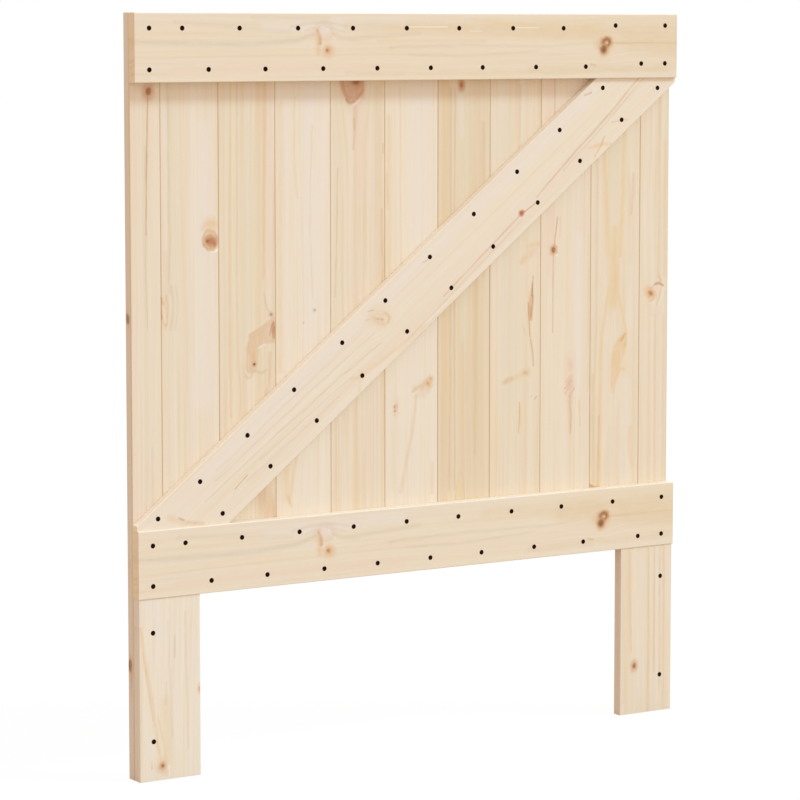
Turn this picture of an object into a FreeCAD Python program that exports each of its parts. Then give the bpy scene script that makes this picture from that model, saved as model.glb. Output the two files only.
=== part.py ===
import FreeCAD, Part
import math
import os

os.makedirs("parts", exist_ok=True)

# A pine headboard: a back layer of upright tongue-and-groove planks, and a front layer of two rails,
# a diagonal brace and two leg boards, screwed on from the front.
# X runs along the width, Y from the front (low) to the back (high), Z up from the floor.
# All lengths are in millimetres.

# Overall sizes
headboard_width = 900
headboard_height = 1050
clear_height = 253.5

# Planed boards of the front layer
board_width = 94
rail_thickness = 18
brace_thickness = 14
leg_board_thickness = 16.5
leg_board_set_in = 0.6
edge_radius = 1.2
# How far the brace's tips, before they are cut flush, would stand past the outer edges
brace_tip_trim = 9

# Planks of the back layer
plank_thickness = 16
plank_cover = 89
first_plank_width = 46
narrowest_plank = 36
plank_arris = 0.7
tongue_length = 7
tongue_thickness = 5
tongue_arris = 0.6
groove_side_clearance = 0.1
groove_end_clearance = 0.6
back_joint_gap = 0.5

# Countersunk wood screws
screw_head_radius = 3.2
screw_shank_radius = 1.5
screw_head_depth = 2.2
screw_point_length = 4
screw_clearance = 0.1
screw_sides = 8
screw_joint_margin = 1.5
rail_screw_length = 30
brace_screw_length = 25
cut_overrun = 1

# Places of the screws, as distances from the edges of the board that they hold
end_screw_inset = 21.8
upper_row_inset = 20.8
lower_row_inset = 17.3
raised_screw_lift = 4
raised_columns = 2
leg_screw_top_inset = 47.5
leg_screw_bottom_inset = 55
brace_row_inset = 17.8
brace_screw_pitch = 95
brace_row_length_share = 0.885
brace_tip_screw_side = 32
brace_tip_screw_rise = 15

# Where the rails' screws stand across each full plank, from its left joint
upper_screw_shares = (0.29, 0.28, 0.31, 0.30, 0.29, 0.275, 0.31, 0.30, 0.34)
lower_screw_shares = (0.74, 0.73, 0.76, 0.745, 0.74, 0.725, 0.76, 0.745, 0.865)

# Planes and places that follow from the sizes
left = -headboard_width / 2
right = headboard_width / 2
front = -(rail_thickness + plank_thickness) / 2
seam = front + rail_thickness
back = seam + plank_thickness
lower_rail_bottom = clear_height
lower_rail_top = lower_rail_bottom + board_width
upper_rail_bottom = headboard_height - board_width
full_planks = int((headboard_width - first_plank_width - narrowest_plank) / plank_cover)
joints = [left + first_plank_width + plank_cover * i for i in range(full_planks + 1)]

# The brace fills the panel between the rails from corner to corner
brace_height = upper_rail_bottom - lower_rail_top
brace_run = headboard_width + 2 * brace_tip_trim
brace_diagonal = math.hypot(brace_run, brace_height)
brace_angle = math.atan2(brace_height, brace_run) + math.asin(board_width / brace_diagonal)
brace_end_width = board_width / math.sin(brace_angle)
brace_length = brace_height / math.sin(brace_angle)
brace_centre_z = (lower_rail_top + upper_rail_bottom) / 2


def vec(x, y, z):
    return FreeCAD.Vector(x, y, z)


def prism(points, depth):
    """A closed outline pushed along a vector."""
    outline = Part.makePolygon(points + points[:1])
    return Part.Face(outline).extrude(depth)


def eased(board, grain):
    """Round the long edges of a board, which lie along its grain."""
    thickness = board.BoundBox.YLength
    radius = min(edge_radius, thickness / 4)
    longest = max(edge.Length for edge in board.Edges)
    long_edges = []
    for edge in board.Edges:
        run = edge.lastVertex().Point - edge.firstVertex().Point
        if edge.Length > longest / 2 and run.cross(grain).Length < run.Length / 1000:
            long_edges.append(edge)
    return board.makeFillet(radius, long_edges)


def screw_rings(head_y, length):
    """Radius and depth of each ring of a screw, from its flat head to its point."""
    tip_y = head_y + length
    return [
        (screw_head_radius, head_y),
        (screw_shank_radius, head_y + screw_head_depth),
        (screw_shank_radius, tip_y - screw_point_length),
        (0, tip_y),
    ]


def hole_rings(head_y, length):
    """Radius and depth of each ring of a screw's hole, which starts in front of the board."""
    head = screw_head_radius + screw_clearance
    shank = screw_shank_radius + screw_clearance
    return [
        (head, head_y - cut_overrun),
        (head, head_y),
        (shank, head_y + screw_head_depth),
        (shank, head_y + length + screw_clearance),
    ]


def turned(rings):
    """A solid of flats round the screw's axis, which lies along Y. The flats touch the true round."""
    half_side = math.pi / screw_sides
    corners = []
    for radius, y in rings:
        reach = radius / math.cos(half_side)
        ring = []
        for i in range(screw_sides):
            angle = half_side * (2 * i + 1)
            ring.append(vec(reach * math.cos(angle), y, reach * math.sin(angle)))
        corners.append(ring)
    outlines = [corners[0]]
    for near, far in zip(corners, corners[1:]):
        for i in range(screw_sides):
            far_points = [far[i]] if far[i] == far[i - 1] else [far[i], far[i - 1]]
            outlines.append([near[i - 1], near[i]] + far_points)
    if rings[-1][0] > 0:
        outlines.append(corners[-1])
    faces = [Part.Face(Part.makePolygon(outline + outline[:1])) for outline in outlines]
    return Part.Solid(Part.Shell(faces))


def placed(shape, places):
    """Copies of one screw or hole at each place across the front."""
    copies = []
    for x, z in places:
        copy = shape.copy()
        copy.translate(vec(x, 0, z))
        copies.append(copy)
    return copies


def rail_screw_places(rail_bottom, lift):
    """Two rows of screws along a rail: one in each full plank, and one near each end."""
    upper_z = rail_bottom + board_width - upper_row_inset
    lower_z = rail_bottom + lower_row_inset
    places = []
    for shares, z in ((upper_screw_shares, upper_z), (lower_screw_shares, lower_z)):
        row = [left + end_screw_inset]
        for i in range(full_planks):
            row.append(joints[i] + plank_cover * shares[i % len(shares)])
        row.append(right - end_screw_inset)
        for i, x in enumerate(row):
            raised = i >= len(row) - raised_columns
            places.append((x, z + lift if raised else z))
    return places


def clear_of_joints(x, z):
    """A screw's place, moved along the brace where it would strike a tongue or its groove."""
    margin = screw_shank_radius + screw_clearance + screw_joint_margin
    reach = tongue_length + groove_end_clearance
    for joint in joints:
        low = joint - margin
        high = joint + reach + margin
        if low < x < high:
            clear_x = low if x - low < high - x else high
            return clear_x, z + (clear_x - x) * math.tan(brace_angle)
    return x, z


def brace_screw_places():
    """Two even rows along the brace, and one more screw in each tip."""
    gaps = int(brace_length * brace_row_length_share / brace_screw_pitch)
    half_row = gaps * brace_screw_pitch / 2
    across = board_width / 2 - brace_row_inset
    places = []
    for side in (1, -1):
        for i in range(gaps + 1):
            along = i * brace_screw_pitch - half_row
            x = along * math.cos(brace_angle) - side * across * math.sin(brace_angle)
            z = brace_centre_z + along * math.sin(brace_angle) + side * across * math.cos(brace_angle)
            places.append((x, z))
    places.append((left + brace_tip_screw_side, lower_rail_top + brace_tip_screw_rise))
    places.append((right - brace_tip_screw_side, upper_rail_bottom - brace_tip_screw_rise))
    return [clear_of_joints(x, z) for x, z in places]


def leg_screw_places(x):
    """Two screws, one above the other, near the outer edge of a leg board."""
    return [(x, clear_height - leg_screw_top_inset), (x, leg_screw_bottom_inset)]


def plank_outline(x0, x1, has_groove, has_tongue):
    """Section of a plank seen from above, with its groove on the left and its tongue on the right."""
    middle = (seam + back) / 2
    tongue_low = middle - tongue_thickness / 2
    tongue_high = middle + tongue_thickness / 2
    groove_low = tongue_low - groove_side_clearance
    groove_high = tongue_high + groove_side_clearance
    groove_end = x0 + tongue_length + groove_end_clearance
    tongue_end = x1 + tongue_length
    points = [vec(x0, seam + plank_arris, 0), vec(x0 + plank_arris, seam, 0)]
    points += [vec(x1 - plank_arris, seam, 0), vec(x1, seam + plank_arris, 0)]
    if has_tongue:
        points += [vec(x1, tongue_low, 0), vec(tongue_end - tongue_arris, tongue_low, 0)]
        points += [vec(tongue_end, tongue_low + tongue_arris, 0)]
        points += [vec(tongue_end, tongue_high - tongue_arris, 0)]
        points += [vec(tongue_end - tongue_arris, tongue_high, 0)]
        points += [vec(x1 - back_joint_gap, tongue_high, 0), vec(x1 - back_joint_gap, back, 0)]
    else:
        points += [vec(x1, back - plank_arris, 0), vec(x1 - plank_arris, back, 0)]
    if has_groove:
        points += [vec(x0, back, 0), vec(x0, groove_high, 0), vec(groove_end, groove_high, 0)]
        points += [vec(groove_end, groove_low, 0), vec(x0, groove_low, 0)]
    else:
        points += [vec(x0 + plank_arris, back, 0), vec(x0, back - plank_arris, 0)]
    return points


def drilled(board, holes):
    """A board with the holes of the screws that reach it."""
    near = [hole for hole in holes if hole.BoundBox.intersect(board.BoundBox)]
    return board.cut(near) if near else board


def save(name, shape):
    shape.exportStep("parts/" + name + ".step")
    print(name, len(shape.Solids), "solids,", round(shape.Volume / 1000, 1), "cm3", shape.isValid())


# Screws and their holes
screw_groups = {
    "top_rail_screws": (front, rail_screw_length, rail_screw_places(upper_rail_bottom, raised_screw_lift)),
    "bottom_rail_screws": (front, rail_screw_length, rail_screw_places(lower_rail_bottom, 0)),
    "brace_screws": (seam - brace_thickness, brace_screw_length, brace_screw_places()),
    "left_leg_screws": (
        seam - leg_board_thickness, rail_screw_length, leg_screw_places(left + end_screw_inset)),
    "right_leg_screws": (
        seam - leg_board_thickness, rail_screw_length, leg_screw_places(right - end_screw_inset)),
}
holes = []
for name, (head_y, length, places) in screw_groups.items():
    screw = turned(screw_rings(head_y, length))
    hole = turned(hole_rings(head_y, length))
    holes += placed(hole, places)
    save(name, Part.makeCompound(placed(screw, places)))

# Back layer: the two outer planks run down to the floor and back the legs
for i in range(full_planks + 2):
    is_first = i == 0
    is_last = i == full_planks + 1
    x0 = left if is_first else joints[i - 1]
    x1 = right if is_last else joints[i]
    z0 = 0 if is_first or is_last else clear_height
    section = plank_outline(x0, x1, not is_first, not is_last)
    plank = prism(section, vec(0, 0, headboard_height - z0))
    plank.translate(vec(0, 0, z0))
    save("plank_%02d" % (i + 1), drilled(plank, holes))

# Front layer: rails across the full width
for name, z0 in (("top_rail", upper_rail_bottom), ("bottom_rail", lower_rail_bottom)):
    rail = Part.makeBox(headboard_width, rail_thickness, board_width, vec(left, front, z0))
    save(name, drilled(eased(rail, vec(1, 0, 0)), holes))

# Front layer: the brace, its ends cut level to meet the rails and flush with the outer edges
tip_height = brace_tip_trim * math.tan(brace_angle)
brace_front = seam - brace_thickness
brace_points = [
    vec(left, brace_front, lower_rail_top),
    vec(left - brace_tip_trim + brace_end_width, brace_front, lower_rail_top),
    vec(right, brace_front, upper_rail_bottom - tip_height),
    vec(right, brace_front, upper_rail_bottom),
    vec(right + brace_tip_trim - brace_end_width, brace_front, upper_rail_bottom),
    vec(left, brace_front, lower_rail_top + tip_height),
]
brace = prism(brace_points, vec(0, brace_thickness, 0))
brace_grain = vec(math.cos(brace_angle), 0, math.sin(brace_angle))
save("diagonal_brace", drilled(eased(brace, brace_grain), holes))

# Front layer: the leg boards, from the floor to the underside of the lower rail
for name, x0 in (("left_leg_board", left + leg_board_set_in),
                 ("right_leg_board", right - leg_board_set_in - board_width)):
    corner = vec(x0, seam - leg_board_thickness, 0)
    leg = Part.makeBox(board_width, leg_board_thickness, clear_height, corner)
    save(name, drilled(eased(leg, vec(0, 0, 1)), holes))
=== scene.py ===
"""A pine headboard of upright planks, two rails, a brace, two leg boards and black screws.

Marks on a board are in millimetres from its own corner: across the grain, then along it.
Everything else is in metres, in the frame's own axes.
"""

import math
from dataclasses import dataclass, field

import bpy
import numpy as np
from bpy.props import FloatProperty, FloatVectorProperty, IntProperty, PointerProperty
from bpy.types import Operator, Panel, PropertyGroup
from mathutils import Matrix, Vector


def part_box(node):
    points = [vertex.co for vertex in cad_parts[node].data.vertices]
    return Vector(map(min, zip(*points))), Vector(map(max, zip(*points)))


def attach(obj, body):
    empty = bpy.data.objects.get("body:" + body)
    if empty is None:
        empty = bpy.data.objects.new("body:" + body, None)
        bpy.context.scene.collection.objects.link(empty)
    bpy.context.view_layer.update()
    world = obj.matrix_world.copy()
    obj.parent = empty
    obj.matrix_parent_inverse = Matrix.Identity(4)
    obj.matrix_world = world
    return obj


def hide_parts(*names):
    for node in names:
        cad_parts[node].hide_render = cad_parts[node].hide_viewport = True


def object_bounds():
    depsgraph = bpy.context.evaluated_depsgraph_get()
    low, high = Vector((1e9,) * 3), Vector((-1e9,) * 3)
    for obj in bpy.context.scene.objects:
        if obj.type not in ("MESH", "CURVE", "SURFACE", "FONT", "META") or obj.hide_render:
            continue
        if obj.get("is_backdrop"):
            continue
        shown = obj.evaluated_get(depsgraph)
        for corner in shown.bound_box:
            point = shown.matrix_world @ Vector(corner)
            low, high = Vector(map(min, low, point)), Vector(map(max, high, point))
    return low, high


bl_info = {
    "name": "Pine Headboard",
    "version": (1, 0, 0),
    "blender": (4, 5, 0),
    "location": "3D View > Sidebar > Headboard",
    "description": "Finishes a planked pine headboard with grain, knots, screws and a pale studio",
    "category": "Object",
}

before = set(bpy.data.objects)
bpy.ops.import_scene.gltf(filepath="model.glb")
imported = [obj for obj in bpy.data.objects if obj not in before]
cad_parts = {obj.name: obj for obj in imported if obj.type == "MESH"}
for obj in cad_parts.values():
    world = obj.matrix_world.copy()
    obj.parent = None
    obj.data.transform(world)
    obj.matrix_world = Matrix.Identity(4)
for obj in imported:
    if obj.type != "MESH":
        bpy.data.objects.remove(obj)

BODY = "root"
MM = 0.001


def paint(red, green, blue):
    """A colour given in the usual 0 to 255 values, as linear light."""
    shares = np.array([red, green, blue]) / 255
    low = shares / 12.92
    high = ((shares + 0.055) / 1.055) ** 2.4
    return tuple(float(v) for v in np.where(shares <= 0.04045, low, high))


PLANKS = sorted(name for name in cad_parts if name.startswith("plank_"))
RAILS = ("top_rail", "bottom_rail")
BRACE = "diagonal_brace"
LEG_BOARDS = ("left_leg_board", "right_leg_board")
SCREW_GROUPS = sorted(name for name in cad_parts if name.endswith("_screws"))
# How far the brace's tips, before they were cut flush, stood past the outer edges
BRACE_TIP_TRIM = 0.009

# Stains of knots, resin and sap, by name
STAINS = {
    "red": paint(150, 82, 50),
    "brown": paint(162, 110, 70),
    "rust": paint(178, 112, 74),
    "salmon": paint(200, 128, 88),
    "copper": paint(200, 148, 106),
    "amber": paint(211, 162, 115),
    "orange": paint(226, 185, 136),
    "honey": paint(230, 198, 155),
    "yellow": paint(230, 202, 158),
    "olive": paint(208, 178, 140),
    "resin": paint(223, 191, 155),
    "pink": paint(222, 184, 156),
    "grey": paint(197, 177, 150),
    "white": paint(247, 237, 222),
    "dark": paint(96, 54, 32),
    # cool: a pale cool tint of the wood, partly a painted sheen where planed faces would catch the sky
    "cool": paint(233, 219, 204),
    "green": paint(227, 211, 181),
    "tan": paint(225, 200, 164),
    "blush": paint(233, 206, 181),
}


@dataclass
class Knot:
    """A branch stub, in millimetres and degrees. Without a depth it goes through the whole board."""

    at: tuple
    size: tuple
    stain: str = "brown"
    strength: float = 0.8
    core: float = 0.0
    rim: float = 0.0
    rim_stain: str = "brown"
    halo: float = 0.3
    halo_stain: str = "orange"
    reach: float = 2.2
    bend: float = 0.7
    turn: float = 0.0
    depth: float = 0.0
    half_depth: float = 400.0
    softness: float = 0.4


@dataclass
class Dot(Knot):
    """A soft spot that no grain bends round."""

    halo: float = 0.0
    bend: float = 0.0
    softness: float = 0.9


@dataclass
class Streak:
    """A coloured line or patch. Each place of its path is the millimetres across, along and half its width."""

    path: tuple
    stain: str = "orange"
    strength: float = 0.4
    softness: float = 1.0
    waver: float = 1.2
    fray: float = 2.0
    outline: float = 0.0


@dataclass
class Wash(Streak):
    """A wide, faint patch whose sides wander."""

    waver: float = 3.0


@dataclass
class Nick(Streak):
    """A short stroke with clean sides."""

    waver: float = 0.5
    fray: float = 0.5


@dataclass
class Cut:
    """How a board was cut from its log: tones from 0 to 1, and its pith's place in millimetres."""

    seed: float
    tone: float = 0.3
    blush: float = 0.15
    contrast: float = 0.2
    streaky: float = 0.3
    drift: float = 0.5
    pith_across: float = 140.0
    pith_depth: float = 50.0
    ring_width: float = 8.0
    sway: float = 12.0
    marks: list = field(default_factory=list)


PLANK_CUTS = {
    "plank_01": Cut(1.3, tone=0.34, contrast=0.14, streaky=0.25, pith_across=120, marks=[
        Streak(((6, 1040, 6), (5, 300, 6)), "blush", 0.5),
        Streak(((22, 1040, 3), (21, 300, 3)), "green", 0.5),
        Knot((29, 944), (4.4, 5.8), "rust", 1.0, core=0.2, halo=0.6, halo_stain="copper", reach=3.4, bend=0.9),
        Streak(((28, 938, 2.2), (26, 861, 2.2), (24, 750, 1.6)), "copper", 0.7, waver=0.8),
        Streak(((24, 870, 1.6), (23, 700, 2.4), (25, 620, 1.4)), "grey", 0.35, waver=2),
        Wash(((31, 460, 2.4), (33, 300, 2.4)), "grey", 0.25),
        Wash(((24, 440, 2), (20, 310, 2)), "grey", 0.22),
        Wash(((2, 300, 9), (10, 250, 9)), "pink", 0.3),
        Knot((0, 636), (2.5, 8), "red", 0.75, core=0.2, halo=0.5, bend=0, depth=9, half_depth=5.5),
        Knot((0, 159), (2.5, 10), "red", 0.9, core=0.5, halo=0.6, bend=0, depth=10, half_depth=6.5),
        Knot((0, 140), (2.5, 20), "rust", 0.45, halo=0.3, bend=0, depth=7, half_depth=2.6, softness=0.9),
    ]),
    "plank_02": Cut(2.7, tone=0.3, contrast=0.12, streaky=0.3, pith_across=-60, marks=[
        Wash(((16, 780, 14), (18, 520, 17), (14, 270, 13)), "green", 0.5),
        Wash(((66, 640, 20), (66, 440, 26), (62, 262, 26)), "cool", 0.6),
        Wash(((11, 760, 3), (14, 500, 4), (12, 430, 3)), "grey", 0.3),
        Streak(((7, 470, 7), (10, 425, 8), (8, 405, 5)), "pink", 0.25, waver=2),
        Knot((77, 507), (10, 9), "orange", 0.4, halo=0.5, halo_stain="honey", reach=1.8, bend=0.6, softness=1.0),
        Streak(((63, 500, 4), (68, 508, 5), (78, 511, 6), (88, 506, 5)), "olive", 0.25),
        Knot((76, 486), (11.5, 13.5), "amber", 0.65, rim=0.4, rim_stain="copper", halo=0.4, halo_stain="honey",
             reach=1.4, softness=0.6),
        Streak(((66, 480, 3.4), (74, 474.5, 4), (84, 478, 4)), "copper", 0.75, waver=0.4),
        Knot((77, 485), (8.4, 6.6), "rust", 0.8, halo=0.7, halo_stain="copper", reach=1.8, bend=0, softness=0.8),
        Dot((72, 485), (3.4, 3.8), "red", 0.75),
        Knot((83, 481), (3.4, 4.4), "rust", 0.7, halo=0.3, halo_stain="salmon", bend=0, softness=0.9),
        Nick(((73, 483, 1.5), (80, 489, 1.8), (87, 489, 1.5)), "amber", 0.85, waver=0.3, fray=0.4),
        Nick(((76, 470.5, 1.4), (82, 469.5, 2), (89, 473, 2)), "white", 0.95, waver=0.4),
        Knot((4.5, 388), (3.6, 16), "white", 0.3, rim=0.25, rim_stain="amber", halo=0.4, reach=1.9, turn=8),
        Streak(((8, 412, 3), (11, 396, 3), (8, 372, 2.6)), "amber", 0.4),
        Streak(((0, 410, 3), (1, 382, 3.4)), "copper", 0.75),
        Streak(((15, 425, 4), (20, 396, 5), (14, 366, 4)), "grey", 0.28, waver=2),
        Streak(((22, 424, 3.4), (27, 400, 4), (21, 366, 3.4)), "grey", 0.18, waver=2),
    ]),
    "plank_03": Cut(3.1, tone=0.45, contrast=0.24, streaky=0.4, pith_across=150, ring_width=9, marks=[
        Wash(((14, 690, 12), (14, 470, 15), (12, 300, 12)), "green", 0.6),
        Wash(((50, 640, 12), (50, 500, 20), (36, 330, 20)), "green", 0.65),
        Streak(((80, 700, 10), (80, 500, 12), (80, 420, 10)), "blush", 0.6),
        Streak(((20, 700, 3.4), (16, 400, 3.4), (18, 240, 3)), "honey", 0.8),
        Streak(((30, 700, 3), (28, 330, 3), (34, 270, 3), (32, 240, 3)), "tan", 0.8),
        Streak(((73, 712, 5), (72, 520, 5), (70, 430, 4.4)), "orange", 0.5),
        Streak(((71, 410, 2.6), (74, 390, 3), (83, 379, 3)), "olive", 0.4),
        Streak(((93, 354, 15), (70, 352, 12), (53, 342, 10), (51, 306, 8)), "resin", 1.0, softness=0.14, outline=0.2),
        Streak(((50, 351, 4), (68, 360, 4), (86, 372, 4)), "resin", 0.95, softness=0.4, waver=1, fray=1, outline=0.15),
        Streak(((54, 335, 7), (53, 318, 6)), "orange", 0.5, waver=1),
        Streak(((62, 333, 3), (72, 338, 3)), "white", 0.35, waver=1),
        Knot((82.5, 379), (3.4, 3), "copper", 0.75, core=0.35, halo=0.5, halo_stain="olive", softness=0.8),
        Knot((86.5, 357), (3.4, 10), "rust", 0.6, rim=0.3, halo=0.6, halo_stain="amber", reach=1.7, bend=0.5,
             softness=0.8),
        Nick(((80, 350, 1.4), (81, 358, 1.8), (86, 369, 1.6)), "brown", 0.7),
        Knot((55.3, 311), (2.2, 2.3), "dark", 1.0, halo=0.55, halo_stain="copper", reach=2.6, bend=0.1, softness=0.7),
        Wash(((42, 296, 4), (46, 291, 4), (52, 296, 3)), "olive", 0.4),
        Wash(((56, 302, 3), (66, 298, 4), (76, 302, 3)), "olive", 0.4),
        Wash(((80, 325, 5), (80, 285, 5), (72, 262, 4)), "amber", 0.35),
        Wash(((50, 165, 22), (84, 96, 26)), "amber", 0.42, fray=8),
    ]),
    "plank_04": Cut(4.9, tone=0.14, blush=0.2, contrast=0.09, streaky=0.15, marks=[
        Streak(((8, 670, 9), (7, 300, 9)), "yellow", 0.5),
        Wash(((60, 700, 24), (58, 350, 26)), "cool", 0.5),
        Wash(((32, 680, 3), (30, 600, 4), (36, 540, 3)), "tan", 0.5),
        Streak(((60, 640, 2.6), (55, 520, 3), (60, 400, 2.6)), "tan", 0.5, waver=2),
        Knot((63, 382), (2.3, 2.2), "grey", 0.95, halo=0.3, halo_stain="grey", bend=0.3),
        Knot((45, 365), (1.7, 1.6), "grey", 0.6, halo=0.1, bend=0.1),
        Streak(((20, 238, 13), (15, 120, 11)), "yellow", 0.55, softness=0.9),
        Streak(((41, 238, 5), (34, 180, 5), (21, 112, 5)), "honey", 0.6),
        Streak(((18, 122, 4), (24, 108, 4)), "orange", 0.4),
    ]),
    "plank_05": Cut(5.2, tone=0.38, contrast=0.16, streaky=0.5, pith_across=170, marks=[
        Wash(((10, 700, 10), (14, 500, 12), (12, 340, 10)), "green", 0.55),
        Wash(((50, 690, 14), (50, 620, 16), (46, 540, 12)), "blush", 0.75),
        Streak(((76, 690, 9), (78, 500, 10), (76, 380, 8)), "tan", 0.5),
        Knot((36, 704), (19, 31), "copper", 0.6, rim=0.35, rim_stain="copper", halo=0.5, halo_stain="pink", reach=1.6,
             softness=0.25),
        Streak(((17, 706, 3), (20, 688, 4), (28, 676, 4)), "copper", 0.7),
        Streak(((22, 702, 1.8), (22, 690, 2)), "brown", 0.4, waver=0.8),
        Streak(((50, 712, 4), (47, 696, 5), (41, 684, 4)), "amber", 0.5),
        Knot((42, 701), (6.4, 5), "rust", 0.95, core=0.3, halo=0.7, halo_stain="copper", reach=2.4, bend=0),
        Streak(((28, 676, 5), (34, 684, 6)), "orange", 0.4, waver=0.6),
        Nick(((26, 676, 3), (31, 671.5, 4.4), (38, 673, 3)), "brown", 0.7, waver=0.6, fray=0.6),
        Streak(((38, 673, 2.4), (47, 680, 2.2), (54, 690, 1.8)), "salmon", 0.75, waver=0.8, fray=1),
        Nick(((33, 666, 1.4), (44, 672, 2), (55, 683, 1.8)), "white", 0.75, waver=0.6),
        Streak(((40, 664, 7), (40, 640, 6), (38, 606, 3)), "pink", 0.6),
        Streak(((39, 650, 2), (40, 634, 2.4)), "copper", 0.3, waver=0.8),
        Streak(((86, 612, 3), (86, 600, 3)), "copper", 0.35),
        Streak(((12, 580, 2.4), (10, 480, 2.6), (8, 400, 2.4)), "amber", 0.35),
        Streak(((84, 520, 3), (86, 380, 3)), "amber", 0.4),
    ]),
    "plank_06": Cut(6.4, tone=0.14, blush=0.15, contrast=0.09, streaky=0.15, pith_across=60, pith_depth=90, marks=[
        Streak(((7, 650, 8), (7, 330, 8)), "yellow", 0.6),
        Wash(((56, 690, 24), (58, 400, 26)), "cool", 0.5),
        Streak(((26, 690, 3), (27, 420, 3)), "yellow", 0.6),
        Streak(((4, 570, 3.4), (6, 520, 3.4)), "orange", 0.4),
        Knot((19, 235), (5, 13), "blush", 0.7, halo=0.5, halo_stain="blush", reach=2, softness=0.9),
        Dot((20, 238), (3.4, 9), "amber", 0.45, softness=1.0),
        Knot((16.4, 237), (1.8, 2.4), "brown", 0.7, halo=0.3, halo_stain="copper", bend=0, softness=0.9),
        Knot((17, 231), (1.8, 2), "brown", 0.65, halo=0.3, halo_stain="copper", bend=0, softness=0.9),
        Dot((17, 225), (2, 2.4), "copper", 0.4),
        Streak(((21, 244, 1.2), (22, 231, 1.2)), "white", 0.5, waver=2, fray=1),
        Wash(((50, 262, 8), (62, 262, 13), (78, 270, 12)), "tan", 0.7),
        Wash(((52, 250, 6), (64, 252, 9), (74, 258, 8)), "pink", 0.35),
        Streak(((47, 257, 3.4), (54, 262, 5), (61, 265, 3.4)), "olive", 0.5, waver=1.5),
        Streak(((60, 260, 6), (68, 267, 8), (77, 276, 6)), "pink", 0.5, waver=1.5),
        Knot((73, 267), (5, 3.4), "copper", 0.6, halo=0.6, halo_stain="orange", reach=2.4, turn=-40, softness=0.9),
        Knot((77, 274), (3.6, 3.2), "copper", 0.5, halo=0.4, halo_stain="orange", softness=0.9),
        Nick(((72, 271, 1.2), (79, 278, 1.4)), "white", 0.6, waver=0.6),
        Nick(((78, 264, 1.2), (83, 269, 1.2)), "white", 0.4, waver=0.6),
        Streak(((53, 252, 4), (47, 200, 5), (38, 165, 5), (27, 114, 6)), "tan", 0.7),
        Streak(((20, 200, 14), (14, 120, 12)), "green", 0.45),
        Streak(((80, 150, 6), (80, 108, 5)), "orange", 0.35),
    ]),
    "plank_07": Cut(7.7, tone=0.8, blush=0.05, contrast=0.3, streaky=0.6, pith_across=-95, ring_width=10, marks=[
        Wash(((46, 700, 18), (46, 520, 18), (44, 330, 12)), "green", 0.75),
        Wash(((40, 690, 6), (40, 620, 8)), "cool", 0.4),
        Knot((40, 695), (3.6, 5.6), "rust", 0.95, halo=0.8, halo_stain="copper", reach=2.6, softness=0.8),
        Streak(((10, 700, 6), (13, 480, 7), (12, 250, 6)), "honey", 0.5),
        Streak(((22, 690, 4), (22, 300, 4.4), (20, 110, 4)), "olive", 0.4),
        Streak(((29, 690, 3), (28, 500, 3), (29, 110, 3)), "olive", 0.45),
        Streak(((66, 420, 4), (64, 160, 4)), "olive", 0.3),
        Streak(((78, 640, 5), (78, 420, 5)), "olive", 0.35),
        Wash(((50, 300, 12), (48, 150, 12)), "tan", 0.5),
        Streak(((39, 132, 3), (39, 114, 6), (39, 92, 8)), "yellow", 0.75, softness=0.8, waver=1, fray=4, outline=0.25),
    ]),
    "plank_08": Cut(8.8, tone=0.46, blush=0.0, contrast=0.14, streaky=0.3, pith_across=130, marks=[
        Wash(((30, 640, 24), (34, 420, 26), (40, 240, 28)), "green", 0.6),
        Streak(((52, 692, 5), (52, 560, 4)), "tan", 0.7),
        Streak(((66, 458, 6), (78, 461, 7), (92, 460, 8)), "honey", 0.8, waver=1.5),
        Streak(((56, 436, 7), (64, 443, 9), (76, 451, 8)), "orange", 0.5, waver=1.5),
        Streak(((70, 454, 10), (84, 446, 10)), "blush", 0.6),
        Streak(((70, 390, 5), (70, 360, 6), (70, 330, 4), (76, 286, 3)), "honey", 0.6),
        Streak(((76, 414, 2), (74.5, 394, 4), (72, 376, 6.4), (72, 352, 5)), "amber", 0.75, waver=0.8, fray=1),
        Streak(((75, 404, 1.6), (74, 386, 2.4)), "brown", 0.55, waver=0.5),
        Streak(((76, 386, 2), (75, 372, 3), (73, 356, 2.6)), "copper", 0.75, waver=0.5),
        Streak(((67.5, 376, 1.6), (69, 350, 2.2), (70.5, 326, 1.8)), "copper", 0.7, waver=0.8),
        Streak(((72, 322, 2), (76, 300, 2.6), (77, 283, 2.2)), "olive", 0.75, waver=0.8),
        Streak(((58, 344, 2), (62, 330, 2.2)), "olive", 0.4, waver=0.8),
        Streak(((26, 261, 7), (46, 267, 6), (68, 275, 9)), "honey", 0.65, waver=2),
        Streak(((26, 261, 5), (33, 264, 7), (41, 266, 5)), "olive", 0.45, waver=2),
        Knot((63, 273), (6, 4), "olive", 0.8, halo=0.5, halo_stain="tan", turn=-20, softness=0.9),
        Nick(((79, 233, 1.6), (83, 237, 1.8)), "grey", 0.9, waver=0.6, fray=0.6),
        Nick(((72, 236, 1.2), (74, 238, 1.2)), "grey", 0.4, waver=0.6, fray=0.6),
        Streak(((55, 226, 4), (55, 194, 4)), "honey", 0.5),
        Streak(((53, 230, 1.6), (53, 208, 2.2), (51, 184, 1.6)), "olive", 0.9, waver=0.6),
    ]),
    "plank_09": Cut(9.6, tone=0.3, blush=0.25, contrast=0.12, streaky=0.2, pith_across=-70, marks=[
        Wash(((14, 700, 13), (16, 480, 16), (18, 420, 15)), "blush", 0.7),
        Wash(((68, 470, 14), (70, 300, 14), (66, 240, 12)), "cool", 0.55),
        Knot((23, 451.6), (4.6, 5.4), "rust", 1.0, core=0.55, halo=0.8, halo_stain="amber", reach=2.0, bend=1.0,
             softness=0.6),
        Dot((23.6, 451.4), (1.3, 1.5), "honey", 0.75),
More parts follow.
